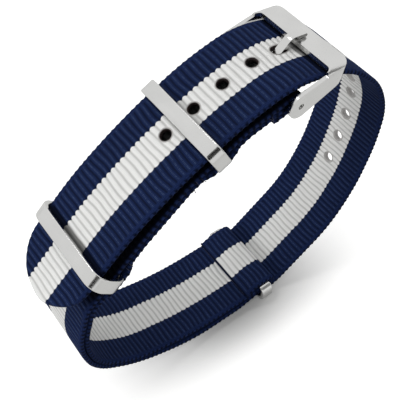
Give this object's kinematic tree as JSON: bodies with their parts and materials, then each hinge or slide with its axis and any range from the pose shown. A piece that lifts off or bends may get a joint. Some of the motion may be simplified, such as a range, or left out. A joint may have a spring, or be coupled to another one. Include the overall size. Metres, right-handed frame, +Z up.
{
  "type": "nato watch strap",
  "caption": "Woven nylon pass-through watch strap buckled into a closed loop, striped lengthwise, with a flat-bar tang buckle and flat steel keeper rings.",
  "frame": {"origin": "on the floor under the middle of the loop's box", "axes": "+X along the loop toward the buckle's bar, +Y across the webbing, +Z up"},
  "size_m": [0.086, 0.0238, 0.0771],
  "materials": {
    "webbing": "ribbed woven nylon, navy with a white middle stripe",
    "weld": "melted nylon",
    "steel": "satin"
  },
  "bodies": {
    "strap": {"long_strap": "webbing", "short_strap": "webbing", "weld_buckle_fold": "weld", "weld_buckle_flap": "weld", "weld_upper_keeper": "weld", "weld_between_keepers": "weld", "weld_middle_keeper": "weld", "weld_end_fold": "weld"},
    "buckle": {"buckle_frame": "steel", "buckle_pin": "steel"},
    "tang": {"buckle_tang": "steel"},
    "upper_ring": {"keeper_upper": "steel"},
    "middle_ring": {"keeper_middle": "steel"},
    "end_ring": {"keeper_end": "steel"}
  },
  "joints": [
    {"name": "buckle_swing", "type": "hinge", "parent": "strap", "child": "buckle", "pos_m": [0.01299, 0, 0.0712], "axis": [0, -1, 0], "range_deg": [-1, 3]},
    {"name": "tang_lift", "type": "hinge", "parent": "buckle", "child": "tang", "pos_m": [0.01299, 0, 0.0712], "axis": [0, -1, 0], "range_deg": [0, 1.5]},
    {"name": "upper_ring_slide", "type": "slide", "parent": "strap", "child": "upper_ring", "axis": [0.9021, 0, 0.4315], "range_m": [-0.0005, 0.0005]},
    {"name": "middle_ring_slide", "type": "slide", "parent": "strap", "child": "middle_ring", "axis": [0.7369, 0, 0.676], "range_m": [-0.0005, 0.0005]},
    {"name": "end_ring_swing", "type": "hinge", "parent": "strap", "child": "end_ring", "pos_m": [0.0114, 0, 0.00485], "axis": [0, 1, 0], "range_deg": [-5, 5]}
  ]
}
